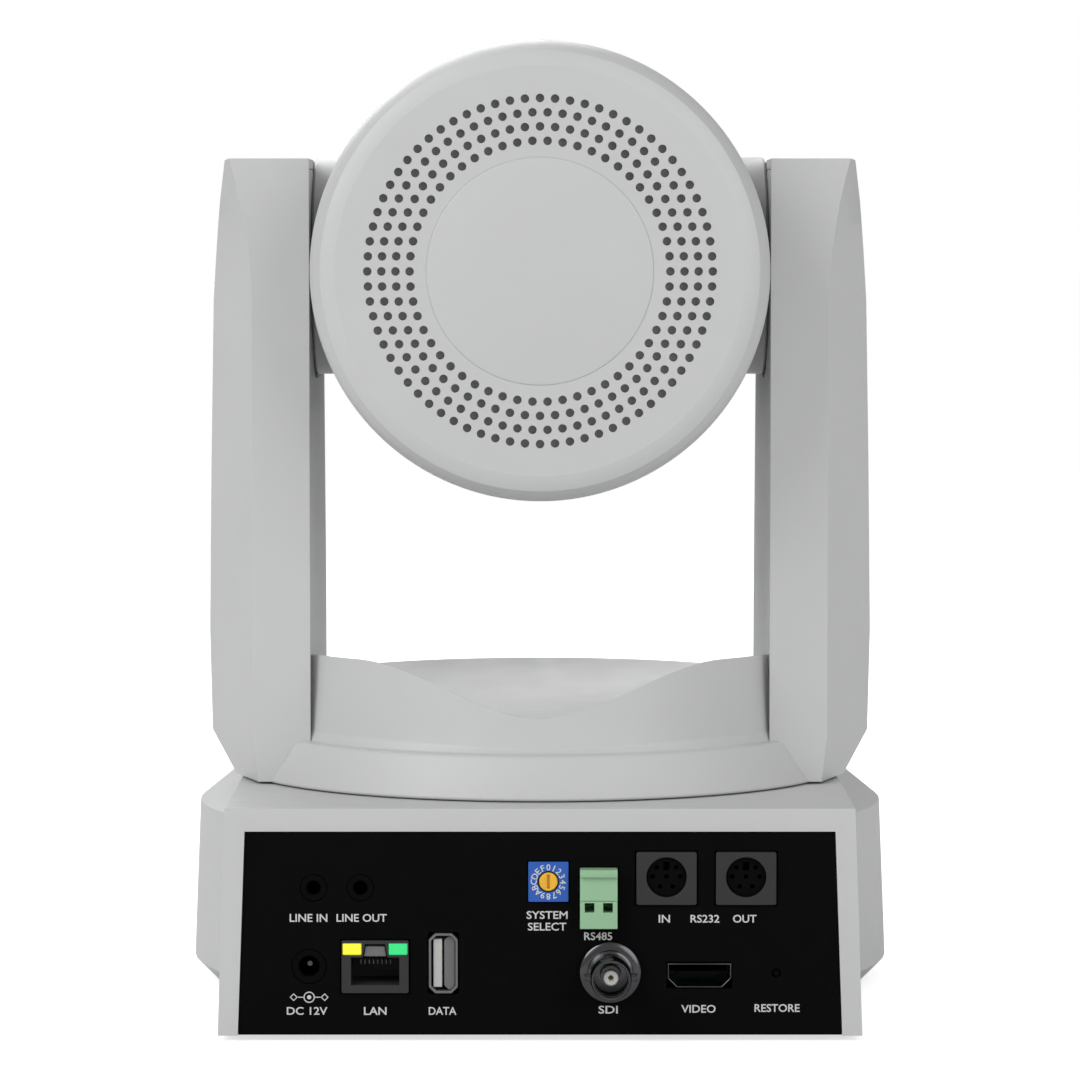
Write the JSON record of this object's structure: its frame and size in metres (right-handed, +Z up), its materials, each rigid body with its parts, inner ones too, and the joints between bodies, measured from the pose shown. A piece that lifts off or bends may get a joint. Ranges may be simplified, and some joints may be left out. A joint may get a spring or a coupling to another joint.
{
  "type": "pan-tilt-zoom camera",
  "caption": "Motorised video camera: a round lens head tilts between the arms of a yoke that pans on a base with a connector panel at the back.",
  "frame": {"origin": "middle of the outside box's underside, on the surface that the feet stand on", "axes": "+Z up, the lens looks along -Y at rest, the connectors face +Y, +X is the camera's left"},
  "size_m": [0.18, 0.1932, 0.2398],
  "materials": {
    "shell_grey": "fine satin light grey housing paint",
    "panel_black": "matt black",
    "black_plastic": "black, slightly glossy",
    "dark_plastic": "dark grey moulded",
    "steel": "zinc plated",
    "connector_metal": "nickel plated",
    "aluminium": "bead blasted",
    "brass": "machined",
    "rubber": "matt black",
    "circuit_board": "green solder mask",
    "optical_glass": "coated, polished",
    "window_dark": "dark infrared-pass acrylic",
    "switch_blue": "moulded blue",
    "switch_yellow": "moulded yellow",
    "terminal_green": "moulded light green",
    "light_guide": "translucent"
  },
  "bodies": {
    "base": {"base_housing": "shell_grey", "base_plate": "steel", "plate_screw_1": "steel", "plate_screw_2": "steel", "plate_screw_3": "steel", "plate_screw_4": "steel", "tripod_nut": "brass", "foot_1": "rubber", "foot_2": "rubber", "foot_3": "rubber", "foot_4": "rubber", "infrared_window": "window_dark", "rear_panel": "panel_black", "lan_jack": "dark_plastic", "usb_socket": "connector_metal", "video_socket": "connector_metal", "sdi_connector": "connector_metal", "serial_in_socket": "dark_plastic", "serial_out_socket": "dark_plastic", "line_in_jack": "black_plastic", "line_out_jack": "black_plastic", "power_jack": "black_plastic", "terminal_header": "terminal_green", "address_switch_body": "switch_blue", "connector_board": "circuit_board", "main_board": "circuit_board", "pan_motor": "steel", "pan_belt": "rubber", "pan_bearing_outer": "steel"},
    "yoke": {"saddle": "shell_grey", "left_arm_shell": "shell_grey", "right_arm_shell": "shell_grey", "left_arm_cover": "shell_grey", "right_arm_cover": "shell_grey", "left_tilt_bearing": "steel", "right_tilt_bearing": "steel", "pan_shaft": "aluminium", "pan_bearing_inner": "steel", "tilt_motor": "steel", "tilt_belt": "rubber"},
    "head": {"head_drum": "shell_grey", "head_rear_cover": "shell_grey", "dust_screen": "dark_plastic", "front_bezel": "black_plastic", "front_window": "optical_glass", "tally_light": "light_guide", "left_hub": "shell_grey", "right_hub": "shell_grey", "tilt_pulley": "aluminium", "camera_chassis": "aluminium", "lens_barrel": "black_plastic", "front_lens": "optical_glass", "sensor_board": "circuit_board"},
    "pan_pinion": {"pan_motor_pulley": "brass"},
    "tilt_pinion": {"tilt_motor_pulley": "brass"},
    "switch_rotor": {"address_switch_rotor": "switch_yellow"},
    "button": {"restore_button": "connector_metal"},
    "plug": {"terminal_plug": "terminal_green"},
    "zoom_group": {"zoom_lens_group": "optical_glass"},
    "focus_group": {"focus_lens_group": "optical_glass"}
  },
  "joints": [
    {"name": "pan", "type": "hinge", "parent": "base", "child": "yoke", "pos_m": [0, -0.00435, 0.0564], "axis": [0, 0, 1], "range_deg": [-170, 170]},
    {"name": "tilt", "type": "hinge", "parent": "yoke", "child": "head", "pos_m": [0, -0.00435, 0.185], "axis": [-1, 0, 0], "range_deg": [-30, 90]},
    {"name": "pan_motor_turn", "type": "hinge", "parent": "base", "child": "pan_pinion", "pos_m": [0, -0.05035, 0.0394], "axis": [0, 0, 1], "range_deg": [-1025, 1025]},
    {"name": "tilt_motor_turn", "type": "hinge", "parent": "yoke", "child": "tilt_pinion", "pos_m": [-0.072, -0.00435, 0.123], "axis": [-1, 0, 0], "range_deg": [-155, 455]},
    {"name": "address_switch_turn", "type": "hinge", "parent": "base", "child": "switch_rotor", "pos_m": [-0.002, 0.08065, 0.0384], "axis": [0, 1, 0], "continuous": true},
    {"name": "restore_press", "type": "slide", "parent": "base", "child": "button", "axis": [0, -1, 0], "range_m": [0, 0.0006], "stiffness_N_per_m": 600, "springref_m": -0.001},
    {"name": "terminal_pull", "type": "slide", "parent": "base", "child": "plug", "axis": [0, 1, 0], "range_m": [0, 0.02]},
    {"name": "zoom_travel", "type": "slide", "parent": "head", "child": "zoom_group", "axis": [0, 1, 0], "range_m": [0, 0.018]},
    {"name": "focus_travel", "type": "slide", "parent": "head", "child": "focus_group", "axis": [0, 1, 0], "range_m": [-0.0025, 0.0025]}
  ],
  "couplings": [
    {"joint": "pan_motor_turn", "follows": "pan", "ratio": 6},
    {"joint": "tilt_motor_turn", "follows": "tilt", "ratio": 5}
  ]
}
